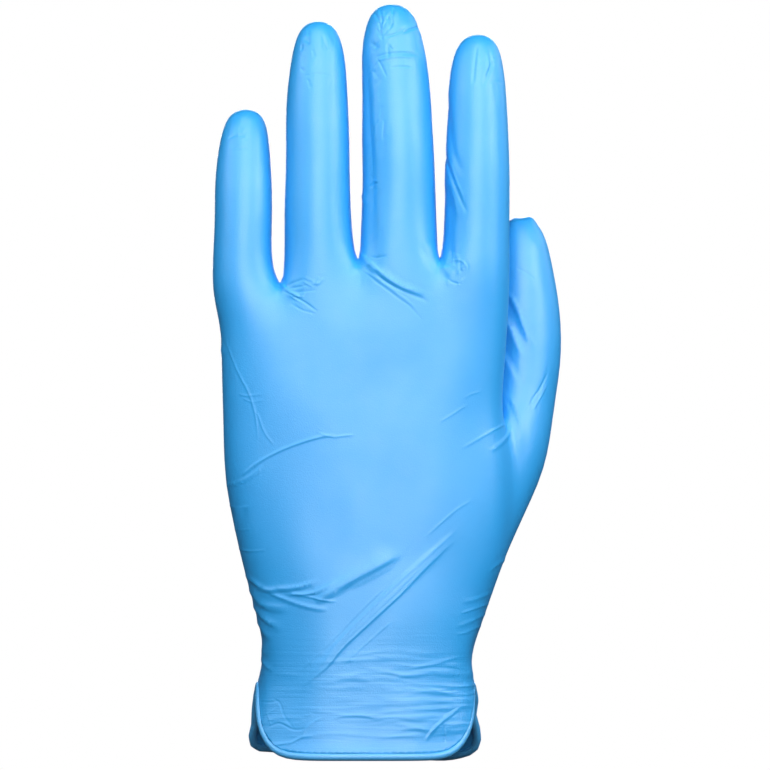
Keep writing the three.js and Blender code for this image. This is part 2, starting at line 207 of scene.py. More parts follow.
def section_loop(s):
    """One section between the rim and the webs, as a loop of the cage's points."""
    middle = (s.right - s.left) * palm_width / 2
    half = (s.right + s.left) * palm_width * side_growth / 2
    loop = []
    for column in range(columns):
        face = 0 if column in (little_column, thumb_column) else (-1 if column < thumb_column else 1)
        if face == 0:
            across = -1 if column == little_column else 1
        else:
            across = front_across[column - 1] if face < 0 else front_across[columns - 1 - column]
        reach = abs(across)
        thickness = (1 - reach**s.square) ** (1 / s.square)
        swelling = s.thenar * math.exp(-(((across - swelling_place) / swelling_reach) ** 2))
        swelling += s.heel * math.exp(-(((across + swelling_place) / swelling_reach) ** 2))
        depth = s.back * thickness if face < 0 else s.palmar * thickness + swelling
        spread = s.back_spread if face < 0 else s.palm_spread
        sharpness = back_corner_sharpness if face < 0 else palm_corner_sharpness
        climb = rim_climb * (rim_peak_share if face == 0 else reach**sharpness)
        lift = back_rim_lift if face < 0 else palm_rim_tilt * (1 - across)
        loop.append(add_point(
            middle + across * half + abs(face) * spread * palm_width * across,
            face * depth * palm_depth,
            rim_height + s.up * glove_length + s.follow * (climb + lift * (1 - reach**rim_lift_sharpness)),
        ))
    return loop


def ellipse_loop(centre, across, through, half_width, half_depth, start):
    loop = []
    for i in range(stall_sides):
        angle = start + 2 * math.pi * i / stall_sides
        point = centre + ring_growth * (
            math.cos(angle) * half_width * across + math.sin(angle) * half_depth * through
        )
        loop.append(add_point(*point))
    return loop


loops = [section_loop(s) for s in sections]

# The last loop goes round the feet of the stalls. These are shares of a stall's depth: how far out a point
# lies to the back or to the palm, and how far it drops below the stall's foot or the web. side_corner is how
# far the outer stalls' corners lie from their middle, as a share of the half width.
foot_back = 0.58
foot_palm = 0.56
foot_palm_drop = 0.2
web_back = 0.48
web_back_drop = 0.25
web_palm = 0.46
web_palm_drop = 0.3
side_out = 0.42
side_drop = 0.1
side_back_drop = 0.05
side_palm_drop = 0.15
side_corner = 0.76

top_loop = [None] * columns
for k, stall in enumerate(stalls):
    top_loop[back_column(2 * k + 1)] = add_point(stall.centre, -stall.depth * foot_back, stall.base)
    top_loop[palm_column(2 * k + 1)] = add_point(
        stall.centre, stall.depth * foot_palm, stall.base - stall.depth * foot_palm_drop
    )
webs = []
for k, x in enumerate(web_across):
    depth = (stalls[k].depth + stalls[k + 1].depth) / 2
    height = stalls[k].web
    top_loop[back_column(2 * k + 2)] = add_point(x, -depth * web_back, height - depth * web_back_drop)
    top_loop[palm_column(2 * k + 2)] = add_point(x, depth * web_palm, height - depth * web_palm_drop)
    webs.append(add_point(x, 0, height))
for stall, side, corner, column in (
    (stalls[0], -1, 0, little_column),
    (stalls[-1], 1, front_columns - 1, thumb_column),
):
    reach = side * stall.width / 2 * ring_growth
    top_loop[column] = add_point(stall.centre + reach, 0, stall.base - stall.depth * side_drop)
    side_x = stall.centre + reach * side_corner
    side_y = stall.depth * side_out
    top_loop[back_column(corner)] = add_point(side_x, -side_y, stall.base - stall.depth * side_back_drop)
    top_loop[palm_column(corner)] = add_point(side_x, side_y, stall.base - stall.depth * side_palm_drop)
loops.append(top_loop)
for row, (lower, upper) in enumerate(zip(loops, loops[1:])):
    beside_thumb = row in (thumb_section, thumb_section + 1)
    add_band(lower, upper, skip=(thumb_column, thumb_column + 1) if beside_thumb else ())

along_x, along_y, along_z = np.eye(3)
first_corner = math.radians(225)
for k, stall in enumerate(stalls):
    loop = [
        top_loop[back_column(2 * k)],
        top_loop[back_column(2 * k + 1)],
        top_loop[back_column(2 * k + 2)],
        webs[k] if k < len(webs) else top_loop[thumb_column],
        top_loop[palm_column(2 * k + 2)],
        top_loop[palm_column(2 * k + 1)],
        top_loop[palm_column(2 * k)],
        webs[k - 1] if k > 0 else top_loop[little_column],
    ]
    for ring in stall_rings:
        bend = ring.along**2
        up = stall.base + (stall.tip - stall.base) * ring.along
        centre = np.array((stall.centre + stall.lean * bend, stall.bow * bend, up))
        half_width, half_depth = stall.width * ring.width / 2, stall.depth * ring.depth / 2
        ring_loop = ellipse_loop(centre, along_x, along_y, half_width, half_depth, first_corner)
        add_band(loop, ring_loop)
        loop = ring_loop
    add_tip(loop, add_point(*(centre + along_z * finger_tip_rise * glove_length)))

outward = np.array((math.cos(thumb_turn), math.sin(thumb_turn), 0))
towards_palm = np.array((-math.sin(thumb_turn), math.cos(thumb_turn), 0))
low, middle, high = loops[thumb_section : thumb_section + 3]
first, second, third = thumb_column, thumb_column + 1, thumb_column + 2
thumb_start = len(cage_points)
loop = [
    low[second], low[third], middle[third], high[third], high[second], high[first], middle[first], low[first],
]
for ring in thumb_rings:
    tilt = math.radians(ring.tilt)
    across = outward * math.cos(tilt) - along_z * math.sin(tilt)
    centre = np.array((ring.out * palm_width, ring.palmar * palm_depth, ring.up * glove_length))
    half_width, half_depth = palm_width * ring.width / 2, palm_width * ring.depth / 2
    ring_loop = ellipse_loop(centre, across, towards_palm, half_width, half_depth, 0)
    add_band(loop, ring_loop)
    loop = ring_loop
add_tip(loop, add_point(*(centre + along_z * thumb_tip_rise * glove_length)))

# The point inside the thumb's hole has no face, so it is dropped, and the rest is smoothed to its limit.
used = sorted({corner for face in cage_faces for corner in face})
place_of = {old: new for new, old in enumerate(used)}
cage = bpy.data.meshes.new("film_cage")
cage.from_pydata([cage_points[i] for i in used], [], [[place_of[i] for i in face] for face in cage_faces])
on_thumb = cage.attributes.new("on_thumb", "FLOAT", "POINT")
on_thumb.data.foreach_set("value", [float(i >= thumb_start) for i in used])
cage_object = bpy.data.objects.new("film_cage", cage)
bpy.context.collection.objects.link(cage_object)
smoothing = cage_object.modifiers.new("smoothing", "SUBSURF")
smoothing.levels = smoothing.render_levels = 2
evaluated = cage_object.evaluated_get(bpy.context.evaluated_depsgraph_get())
smooth = bpy.data.meshes.new_from_object(evaluated)
bpy.data.objects.remove(cage_object)


def read(data, name, shape, kind=np.float64):
    values = np.empty(int(np.prod(shape)), kind)
    data.foreach_get(name, values)
    return values.reshape(shape)


points = read(smooth.vertices, "co", (len(smooth.vertices), 3))
quads = read(smooth.loops, "vertex_index", (len(smooth.polygons), 4), np.int32)
thumb_share = read(smooth.attributes["on_thumb"].data, "value", len(points))


def normals_of(points, triangles):
    a, b, c = (points[triangles[:, i]] for i in range(3))
    facing = np.cross(b - a, c - a)
    normals = np.zeros_like(points)
    for i in range(3):
        np.add.at(normals, triangles[:, i], facing)
    return normals / np.linalg.norm(normals, axis=1, keepdims=True)


# A loose film doesn't lie close everywhere. Each pull draws the film round a place of the photograph, within
# reach, to the right and down in its pixels, and outwards in millimetres.
mm = 0.001
pulls = table("face column row reach right down away", [
    # The palm's layer hangs lower than the back's at both of the cuff's corners.
    ("palm", 256, 742, 22, -6, 3, 0),
    ("palm", 272, 752, 20, 0, -2, 0),
    ("palm", 478, 748, 24, 5, 2, 0),
    ("palm", 484, 712, 16, -4, 0, 0),
    # The thumb's tip is blunt, and slants down to its right.
    ("thumb", 514, 216, 12, -1, -2, 0),
    ("thumb", 532, 216, 12, 1, -3, 0),
    ("thumb", 552, 330, 70, 3, 0, 0),
])
thumb_begins = 0.3
towards = {"back": points[:, 1] < 0, "palm": points[:, 1] >= 0, "thumb": thumb_share > thumb_begins}
for pull in pulls:
    place = np.array((across_photo(pull.column), up_photo(pull.row)))
    gap = np.linalg.norm(points[:, [0, 2]] - place, axis=1) / (pull.reach * photo_pixel)
    share = np.clip(1 - gap**2, 0, 1) ** 2 * towards[pull.face]
    way = -1 if pull.face == "back" else 1
    move = np.array((pull.right * photo_pixel, way * pull.away * mm, -pull.down * photo_pixel))
    points = points + share[:, None] * move

# The back's layer flares out towards the rim.
flare_height = 7 * mm
flare_away = 1.5 * mm
flare_sharpness = 1.6
share = np.clip(1 - (points[:, 2] - rim_height) / flare_height, 0, 1) ** flare_sharpness * towards["back"]
points[:, 1] -= flare_away * share

triangles = np.concatenate([quads[:, [0, 1, 2]], quads[:, [0, 2, 3]]])
normals = normals_of(points, triangles)

# The folds of the film, each along a few points of the photograph, on the glove's back, the thumb or the
# palm's side. half is how far a fold reaches to each side and height how high it stands, in millimetres. A
# negative height is a crease. lean is how much steeper the side to the right of the path's direction is.
folds = table("face half height lean path", [
    # The pair of long folds across the wrist, with the band that they hold between them.
    ("back", 3.00, 0.31, 0, [
        (456, 534), (428, 560), (400, 587), (373, 613), (346, 638), (324, 663), (300, 688),
    ]),
    ("back", 0.90, 0.19, 0.4, [(322, 661), (349, 630), (372, 607), (400, 580), (430, 553), (460, 527)]),
    ("back", 0.80, 0.17, 0.4, [
        (303, 686), (327, 666), (344, 646), (374, 618), (400, 594), (426, 567), (454, 540),
    ]),
    ("back", 0.65, 0.09, 0.4, [(318, 653), (335, 637), (352, 619), (371, 600), (388, 584)]),
    ("back", 0.65, 0.08, 0.4, [(340, 668), (356, 652), (376, 634), (392, 620)]),
    ("back", 0.65, 0.07, 0, [(304, 667), (316, 655), (324, 650)]),
    # The bulge over the wrist.
    ("back", 3.30, 0.66, 0.5, [(316, 602), (334, 590), (355, 578), (376, 567), (402, 552)]),
    ("back", 1.20, 0.17, 0.5, [(350, 588), (372, 577), (396, 564)]),
    # The folds that fan out over the wrist from the little finger's side.
    ("back", 1.15, 0.51, 0.6, [(244, 574), (255, 583), (266, 590), (281, 589), (300, 587), (320, 580)]),
    ("back", 0.90, 0.34, 0.6, [(284, 593), (298, 594), (312, 593), (323, 589), (337, 581)]),
    ("back", 0.95, 0.41, 0.6, [(268, 592), (277, 596), (290, 601), (302, 605), (315, 608), (328, 609)]),
    ("back", 0.70, 0.19, 0.6, [(296, 594), (312, 597), (324, 600), (337, 601)]),
    ("back", 1.50, 0.54, 0.7, [(246, 586), (254, 596), (259, 603), (267, 607), (278, 609), (288, 609)]),
    ("back", 1.40, 0.51, 0.7, [(250, 600), (257, 611), (263, 618), (270, 623), (281, 629)]),
    ("back", 1.20, 0.41, 0.7, [(252, 614), (260, 626), (264, 633), (271, 639)]),
    ("back", 1.20, 0.37, 0.7, [(252, 646), (260, 657), (264, 664), (272, 671)]),
    ("back", 3.20, 0.41, 0, [(246, 636), (259, 648), (268, 655)]),
    ("back", 0.65, 0.11, 0.4, [(236, 548), (250, 551), (266, 550)]),
    ("back", 0.65, 0.11, 0.4, [(228, 505), (238, 508), (250, 506)]),
    ("back", 0.65, 0.07, 0.4, [(226, 527), (240, 530), (252, 529)]),
    # The long fold across the glove's back, and the line that runs down to it from the little finger.
    ("back", 0.75, 0.23, 0.5, [
        (243, 476), (249, 470), (261, 461), (280, 451), (300, 443), (321, 437), (336, 435),
    ]),
    ("back", 0.65, 0.12, 0.5, [(318, 433), (332, 437), (343, 436), (354, 435)]),
    ("back", 0.90, 0.22, 0.5, [(226, 486), (234, 484), (243, 481), (256, 473), (264, 466)]),
    ("back", 0.70, 0.11, 0.3, [(226, 340), (230, 352), (238, 372), (250, 396), (256, 418), (258, 440)]),
    ("back", 0.65, 0.08, 0.3, [(257, 412), (259, 417), (265, 433), (275, 446)]),
    ("back", 0.65, 0.07, 0.3, [(238, 394), (248, 396), (262, 394)]),
    ("back", 0.65, 0.06, 0.3, [(242, 398), (252, 402), (264, 400)]),
    ("back", 1.80, 0.34, 0.6, [(210, 340), (218, 347), (224, 357)]),
    # The skin of each finger's foot laps over the foot of the next one.
    ("back", 1.80, 0.52, 0.6, [(424, 293), (405, 288), (391, 280), (378, 270), (368, 261), (358, 250)]),
    ("back", 0.90, -0.34, 0, [(374, 271), (381, 278), (391, 285), (403, 291), (418, 297), (428, 302)]),
    ("back", 0.65, -0.11, 0, [(366, 273), (376, 282), (386, 289), (399, 299), (409, 306), (424, 322)]),
    ("back", 0.65, 0.09, 0.3, [(360, 268), (374, 277), (388, 287), (402, 297), (416, 308)]),
    ("back", 0.65, -0.19, 0, [(364, 257), (371, 264), (378, 270)]),
    ("back", 0.65, -0.14, 0, [(370, 257), (378, 258), (387, 256)]),
    ("back", 2.00, 0.37, 0.4, [(454, 276), (444, 268), (436, 257), (428, 244)]),
    ("back", 1.80, -0.22, 0, [(418, 243), (425, 254), (433, 265), (441, 274), (448, 280)]),
    ("back", 0.65, -0.14, 0, [(448, 280), (454, 283), (461, 284)]),
    ("back", 0.65, -0.12, 0, [(460, 259), (460, 266), (461, 273)]),
    ("back", 0.65, -0.11, 0, [(454, 258), (455, 262), (455, 266)]),
    ("back", 0.65, -0.11, 0, [(465, 261), (468, 268), (466, 274), (461, 280)]),
    ("back", 0.65, 0.11, 0, [(449, 262), (457, 260), (464, 263), (467, 270)]),
    ("back", 1.70, 0.41, 0.5, [(300, 297), (290, 292), (281, 283), (274, 270)]),
    ("back", 0.65, -0.17, 0, [(283, 291), (293, 296), (304, 302), (318, 312)]),
    ("back", 0.65, -0.11, 0, [(290, 303), (302, 310), (316, 314)]),
    ("back", 0.65, -0.10, 0, [(286, 292), (300, 292), (318, 290)]),
    ("back", 0.65, -0.10, 0, [(285, 287), (294, 283), (305, 279)]),
    ("back", 0.65, -0.10, 0, [(287, 289), (300, 287), (314, 284)]),
    # The fingers.
    ("back", 0.90, -0.36, 0.3, [(440, 140), (446, 161), (452, 179), (459, 197), (466, 213)]),
    ("back", 0.70, 0.14, 0.3, [(450, 162), (456, 180), (463, 198)]),
    ("back", 1.60, -0.36, 0, [(445, 95), (448, 112), (453, 150), (463, 176)]),
    ("back", 2.60, -0.70, 0.3, [(452, 266), (450, 240), (451, 214), (447, 186)]),
    ("back", 0.65, 0.11, 0, [(452, 192), (454, 200), (455, 210)]),
    ("back", 0.80, -0.32, 0, [(477, 46), (475, 62), (473, 84)]),
    ("back", 0.90, -0.42, 0, [(488, 46), (491, 64), (487, 76), (482, 88)]),
    ("back", 0.65, -0.15, 0, [(488, 83), (495, 82), (503, 83)]),
    ("back", 2.80, -0.75, 0.3, [(374, 262), (373, 235), (372, 200), (370, 150), (367, 100), (366, 56)]),
    ("back", 0.65, 0.14, 0.2, [(368, 186), (372, 181), (377, 182)]),
    ("back", 0.65, -0.17, 0, [(369, 188), (373, 184), (378, 184)]),
    ("back", 1.20, 0.34, 0.6, [(355, 192), (362, 198), (368, 204)]),
    ("back", 0.65, -0.28, 0, [(384, 37), (390, 36), (398, 33), (405, 27)]),
    ("back", 0.65, -0.32, 0, [(403, 33), (409, 30), (417, 27), (426, 24)]),
    ("back", 0.65, -0.28, 0, [(376, 58), (383, 55), (390, 54), (403, 53), (414, 54), (421, 57)]),
    ("back", 0.65, 0.17, 0, [(376, 61), (390, 58), (403, 57), (416, 58)]),
    ("back", 0.65, -0.13, 0, [(390, 68), (402, 67), (414, 68)]),
    ("back", 0.65, -0.15, 0, [(228, 139), (236, 135), (248, 137)]),
    ("back", 0.65, -0.11, 0, [(232, 150), (240, 148), (250, 149)]),
    ("back", 0.65, -0.11, 0, [(304, 76), (318, 74), (332, 76)]),
    # Beside the thumb's root.
    ("back", 0.70, 0.12, 0.3, [(461, 449), (480, 438), (494, 430), (508, 423)]),
    ("back", 0.90, 0.34, 0.4, [(506, 419), (509, 426), (508, 434), (500, 443), (488, 452)]),
    ("back", 0.65, 0.08, 0.3, [(440, 422), (453, 414), (467, 405)]),
    ("back", 0.65, 0.07, 0.3, [(464, 398), (472, 394), (481, 392)]),
    ("back", 0.65, 0.09, 0.3, [(426, 536), (446, 518), (458, 508), (472, 500)]),
    ("back", 0.90, 0.22, 0.4, [(490, 571), (500, 563), (512, 558)]),
    ("back", 0.90, 0.17, 0.4, [(462, 602), (472, 600), (482, 597), (494, 592)]),
    ("back", 0.80, 0.15, 0.4, [(460, 613), (470, 610), (480, 607), (492, 603)]),
    ("back", 0.90, 0.19, 0.4, [(456, 626), (466, 623), (478, 618), (490, 612)]),
    ("back", 0.80, 0.14, 0.4, [(456, 634), (466, 632), (476, 628), (488, 624)]),
    # The thumb, whose film is drawn into ribs where it leaves the palm.
    ("thumb", 3.30, -0.41, 0, [(500, 292), (510, 306), (516, 322), (525, 350)]),
    ("thumb", 1.50, 0.52, 0, [(506, 290), (515, 304), (523, 324), (534, 350)]),
    ("thumb", 3.30, -0.41, 0, [(494, 334), (504, 348), (511, 364), (520, 394)]),
    ("thumb", 1.50, 0.52, 0, [(500, 312), (509, 326), (516, 342), (524, 360)]),
    ("thumb", 3.20, -0.37, 0, [(492, 366), (502, 380), (509, 398), (518, 428)]),
    ("thumb", 1.50, 0.52, 0, [(496, 346), (506, 360), (514, 376), (522, 392)]),
    ("thumb", 1.25, 0.41, 0.3, [(505, 392), (513, 404), (519, 418), (521, 434), (517, 458)]),
    ("thumb", 0.70, -0.19, 0.2, [(530, 406), (536, 395), (541, 388), (548, 372)]),
    ("thumb", 0.70, 0.15, 0.2, [(534, 410), (541, 397), (548, 384)]),
    ("thumb", 0.70, -0.11, 0, [(516, 267), (526, 272), (536, 280)]),
    ("thumb", 1.15, -0.19, 0, [(531, 232), (536, 238), (541, 243)]),
    # The cuff's lower corners.
    ("back", 0.80, 0.22, 0.5, [(272, 745), (280, 743), (292, 741), (302, 736), (314, 734)]),
    ("back", 0.70, 0.13, 0.3, [(302, 735), (306, 728), (313, 721), (322, 716)]),
    ("back", 0.65, -0.07, 0, [(272, 697), (280, 702), (285, 715), (296, 729)]),
    ("back", 0.65, -0.06, 0, [(258, 700), (268, 701), (280, 699)]),
    ("back", 0.65, -0.12, 0, [(266, 727), (280, 722), (294, 728), (306, 727)]),
    ("back", 0.65, -0.19, 0, [(443, 724), (444, 731), (446, 741)]),
    ("back", 0.90, 0.31, 0.3, [(460, 706), (450, 713), (440, 721), (432, 729), (424, 740)]),
    # The palm's side, where the film creases at the joints and is drawn over the thumb's root.
    ("palm", 1.00, -0.36, 0.2, [(235, 262), (250, 258), (268, 262)]),
    ("palm", 0.80, -0.24, 0.2, [(232, 196), (244, 193), (258, 196)]),
    ("palm", 1.00, -0.36, 0.2, [(296, 238), (318, 233), (342, 238)]),
    ("palm", 0.80, -0.24, 0.2, [(300, 132), (318, 129), (338, 133)]),
    ("palm", 1.00, -0.36, 0.2, [(372, 228), (400, 223), (430, 229)]),
    ("palm", 0.80, -0.24, 0.2, [(376, 118), (398, 115), (424, 119)]),
    ("palm", 1.00, -0.36, 0.2, [(452, 236), (474, 232), (500, 237)]),
    ("palm", 0.80, -0.24, 0.2, [(456, 140), (476, 137), (498, 141)]),
    ("palm", 1.60, -0.48, 0.2, [(240, 335), (280, 318), (330, 322), (380, 345), (420, 350)]),
    ("palm", 1.40, -0.36, 0.2, [(300, 395), (350, 372), (410, 365), (460, 372)]),
    ("palm", 2.20, 0.64, 0.3, [(470, 380), (430, 420), (405, 470), (400, 530), (410, 580)]),
    ("palm", 1.20, 0.40, 0.3, [(445, 395), (415, 430), (392, 480), (386, 540)]),
    ("palm", 1.20, 0.48, 0.4, [(262, 592), (300, 602), (345, 600), (390, 588)]),
    ("palm", 1.00, 0.40, 0.4, [(264, 612), (300, 620), (340, 616)]),
    ("palm", 1.00, 0.40, 0.4, [(482, 578), (450, 594), (415, 600), (385, 612)]),
    ("palm", 1.00, 0.32, 0.4, [(478, 606), (450, 616), (420, 620)]),
    ("palm", 1.20, 0.40, 0.3, [(300, 690), (345, 650), (395, 622), (440, 600)]),
])


def curve_through(path, steps=6):
    """Points of a smooth curve through a path's points (Catmull-Rom)."""
    p = np.array([2 * path[0] - path[1], *path, 2 * path[-1] - path[-2]])
    t = np.arange(steps)[:, None] / steps
    spans = [
        0.5 * (2 * b + (c - a) * t + (2 * a - 5 * b + 4 * c - d) * t**2 + (3 * b - a - 3 * c + d) * t**3)
        for a, b, c, d in zip(p, p[1:], p[2:], p[3:])
    ]
    return np.concatenate([*spans, path[-1:]])


def place_on_back(path):
    return np.array([(across_photo(column), up_photo(row)) for column, row in path])


# How a fold's section and its ends are shaped.
lean_share = 0.7
section_roundness = 1.4
end_share = 0.25


class Fold:
    """One fold as a smooth line, seen level from the glove's back."""

    def __init__(self, face, half, height, lean, path, widest):
        self.face, self.widest = face, widest
        self.line = curve_through(path)
        self.half, self.height = half, height
        self.steep, self.gentle = half * (1 - lean_share * lean), half * (1 + lean_share * lean)
        self.low = self.line.min(axis=0) - self.gentle
        self.high = self.line.max(axis=0) + self.gentle

    def measure(self, places):
        """How far each place lies from the line, positive to its left, and how far along the line."""
        start, run = self.line[:-1], np.diff(self.line, axis=0)
        offset = places[:, None] - start
        share = np.clip((offset * run).sum(2) / (run**2).sum(1), 0, 1)
        gap = offset - share[..., None] * run
        away = np.linalg.norm(gap, axis=2)
        nearest = away.argmin(axis=1)
        rows = np.arange(len(places))
        side = run[nearest, 0] * gap[rows, nearest, 1] - run[nearest, 1] * gap[rows, nearest, 0]
        along = (nearest + share[rows, nearest]) / len(run)
        return np.copysign(away[rows, nearest], side), along

    def near(self, places, margin=0.0):
        inside = ((places > self.low - margin) & (places < self.high + margin)).all(axis=1)
        found = np.flatnonzero(inside)
        return found, *self.measure(places[found])

    def rise(self, places):
        found, away, along = self.near(places)
        reach = np.where(away > 0, self.gentle, self.steep)
        profile = np.clip(1 - (np.abs(away) / reach) ** section_roundness, 0, 1) ** 2
        ends = np.clip(np.minimum(along, 1 - along) / end_share, 0, 1)
        heights = np.zeros(len(places))
        heights[found] = self.height * profile * ends * (2 - ends)
        return heights


# How long a triangle's side may be beside a fold, as a share of the fold's half width. The folds of the back
# and the thumb that reach wide_fold millimetres or more are smooth enough for longer sides.
widest_side = 0.66
widest_side_wide = 1.1
widest_side_palm = 1.0
widest_side_gather = 1.8
wide_fold = 0.9

film_folds = []
for f in folds:
    widest = widest_side if f.half < wide_fold else widest_side_wide
    if f.face == "palm":
        widest = widest_side_palm
    film_folds.append(Fold(f.face, f.half * mm, f.height * mm, f.lean, place_on_back(f.path), widest))

# Fine gathers run across the wrist, where the cuff is loose. Small ones fill the webs, and run along the
# fingertips. left, right, top, bottom and length are in the photograph's pixels. tilt is how far their
# directions spread from level in degrees. Those with a tilt of upright_tilt or more stand upright instead.
upright_tilt = 60
upright_spread = 25
gather_lengths = (0.5, 1.5)
gather_sags = (-0.1, 0.1)
gather_halves = (0.7, 1.4)
gather_heights = (0.4, 1.2)
gather_lean = 0.3
fold_random = np.random.default_rng(7)
gathers = table("face count left right top bottom length half height tilt", [
    ("back", 58, 345, 474, 650, 738, 76, 1.1, 0.08, 1.4),
    ("back", 30, 400, 476, 655, 738, 54, 1.0, 0.1, 2),
    ("back", 12, 262, 380, 650, 738, 50, 1.2, 0.06, 4),
    ("back", 9, 262, 320, 700, 742, 16, 0.7, 0.06, 35),
    ("back", 12, 292, 320, 278, 304, 12, 0.6, 0.09, 30),
    ("back", 12, 446, 466, 256, 284, 8, 0.6, 0.1, 60),
    ("back", 22, 368, 394, 10, 66, 10, 0.8, -0.24, 70),
    ("back", 14, 366, 386, 60, 180, 16, 0.8, -0.14, 80),
    ("back", 14, 300, 332, 36, 84, 11, 0.9, -0.14, 80),
    ("back", 8, 226, 252, 118, 150, 9, 0.8, -0.12, 60),
    ("back", 8, 476, 500, 44, 92, 14, 0.8, -0.16, 70),
    ("palm", 36, 270, 470, 620, 740, 64, 1.25, 0.13, 3),
    ("palm", 12, 270, 300, 280, 320, 10, 0.6, 0.12, 30),
    ("palm", 12, 350, 380, 262, 300, 10, 0.6, 0.12, 30),
    ("palm", 12, 430, 460, 262, 300, 10, 0.6, 0.12, 30),
])
for g in gathers:
    for _ in range(g.count):
        column = fold_random.uniform(g.left, g.right)
        row = fold_random.uniform(g.top, g.bottom)
        middle, spread = (90, upright_spread) if g.tilt >= upright_tilt else (0, g.tilt)
        angle = math.radians(fold_random.normal(middle, spread))
        length = g.length * fold_random.uniform(*gather_lengths)
        sag = fold_random.uniform(*gather_sags) * length
        step = np.array((math.cos(angle), math.sin(angle))) * length / 2
        path = [np.array((column, row)) + s * step + np.array((0, sag * (1 - s * s))) for s in (-1, 0, 1)]
        half = g.half * fold_random.uniform(*gather_halves) * mm
        height = g.height * fold_random.uniform(*gather_heights) * mm
        if g.face == "palm":
            widest = widest_side_gather
        else:
            widest = widest_side if half < wide_fold * mm else widest_side_wide
        film_folds.append(Fold(g.face, half, height, gather_lean, place_on_back(path), widest))

plane_pull = 0.375


def halve_edges(points, normals, extra, triangles, wanted, rim_too=False):
    """Halves the edges that wanted() picks, the rim's only with rim_too, and splits their triangles."""
    sides = triangles[:, [[0, 1], [1, 2], [2, 0]]].reshape(-1, 2)
    keys = np.sort(sides, axis=1)
    edges, which = np.unique(keys, axis=0, return_inverse=True)
    which = which.reshape(-1, 3)
    a, b = edges[:, 0], edges[:, 1]
    centre = (points[a] + points[b]) / 2
    shared = np.bincount(which.ravel()) == 2
    picked = wanted(centre, np.linalg.norm(points[a] - points[b], axis=1)) & (shared | rim_too)
    new = np.full(len(edges), -1)
    new[picked] = len(points) + np.arange(picked.sum())
    a, b, centre = a[picked], b[picked], centre[picked]
    # Each half point is drawn towards the planes through the edge's two ends, so that it follows the curve.
    pull = sum(((centre - points[i]) * normals[i]).sum(1, keepdims=True) * normals[i] for i in (a, b))
    centre = centre - plane_pull * pull
    normal = normals[a] + normals[b]
    points = np.concatenate([points, centre])
    normals = np.concatenate([normals, normal / np.linalg.norm(normal, axis=1, keepdims=True)])
    extra = np.concatenate([extra, (extra[a] + extra[b]) / 2])
    half = new[which]
    made = []
    count = (half >= 0).sum(axis=1)
    made.append(triangles[count == 0])
    t, h = triangles[count == 3], half[count == 3]
    made.append(np.stack((t[:, 0], h[:, 0], h[:, 2]), axis=1))
    made.append(np.stack((h[:, 0], t[:, 1], h[:, 1]), axis=1))
    made.append(np.stack((h[:, 2], h[:, 1], t[:, 2]), axis=1))
    made.append(h)
    for turn in range(3):
        t, h = np.roll(triangles, -turn, axis=1), np.roll(half, -turn, axis=1)
        one = (count == 1) & (h[:, 0] >= 0)
        made.append(np.stack((t[one, 0], h[one, 0], t[one, 2]), axis=1))
        made.append(np.stack((h[one, 0], t[one, 1], t[one, 2]), axis=1))
        two = (count == 2) & (h[:, 2] < 0)
        made.append(np.stack((h[two, 0], t[two, 1], h[two, 1]), axis=1))
        made.append(np.stack((t[two, 0], h[two, 0], h[two, 1]), axis=1))
        made.append(np.stack((t[two, 0], h[two, 1], t[two, 2]), axis=1))
    return points, normals, extra, np.concatenate(made)


def rim_loop(triangles):
    """The rim's points in order, from the sides that only one triangle uses."""
    sides = {(a, b) for t in triangles.tolist() for a, b in ((t[0], t[1]), (t[1], t[2]), (t[2], t[0]))}
    after = {a: b for a, b in sides if (b, a) not in sides}
    loop = [min(after)]
    while after[loop[-1]] != loop[0]:
        loop.append(after[loop[-1]])
    return loop


# Beside the rim, both the outside and the inside get finer triangles, which the edge between them shares.
rim_steps = (2.0 * mm, 1.2 * mm)
rim_reach = 2.5 * mm
for finest in rim_steps:
    rim_places = points[rim_loop(triangles)]

    def beside_rim(centre, length):
        away = np.array([np.linalg.norm(rim_places - c, axis=1).min() for c in centre])
        return (away < rim_reach) & (length > finest)

    points, normals, thumb_share, triangles = halve_edges(
        points, normals, thumb_share, triangles, beside_rim, rim_too=True
    )
rim = rim_loop(triangles)
rim_places = points[rim]

wave_count = 14
wave_lengths = (0.018, 0.05)
wave_height = 0.05 * mm


def undulation(points):
    """Broad soft unevenness, as a film has over knuckles and tendons."""
    waves = np.random.default_rng(3)
    height = np.zeros(len(points))
    for _ in range(wave_count):
        length = waves.uniform(*wave_lengths)
        direction = waves.normal(size=3)
        direction *= 2 * math.pi / length / np.linalg.norm(direction)
        height += wave_height * np.sin(points @ direction + waves.uniform(0, 2 * math.pi))
    return height


def smooth_step(low, high, values):
    share = np.clip((values - low) / (high - low), 0, 1)
    return share * share * (3 - 2 * share)


# The folds of the back end where the film turns to the palm, those of the thumb end in its root, and all of
# them fade into the bead at the rim.
back_turns = (-0.35, 0.15)
thumb_root = (0.2, 0.8)
rim_fade = 4 * mm


def raise_film(points, normals, thumb):
    """How far the folds lift each point of the film off the smooth form."""
    places = points[:, [0, 2]]
    towards_back = smooth_step(*back_turns, -normals[:, 1])
    on_thumb = smooth_step(*thumb_root, thumb)
    reach = {
        "back": towards_back * (1 - on_thumb),
        "thumb": towards_back * on_thumb,
        "palm": 1 - towards_back,
    }
    rise = undulation(points)
    for face, share in reach.items():
        found = np.flatnonzero(share > 0)
        heights = sum(fold.rise(places[found]) for fold in film_folds if fold.face == face)
        rise[found] += heights * share[found]
    return rise * np.clip((points[:, 2] - rim_height) / rim_fade, 0, 1)


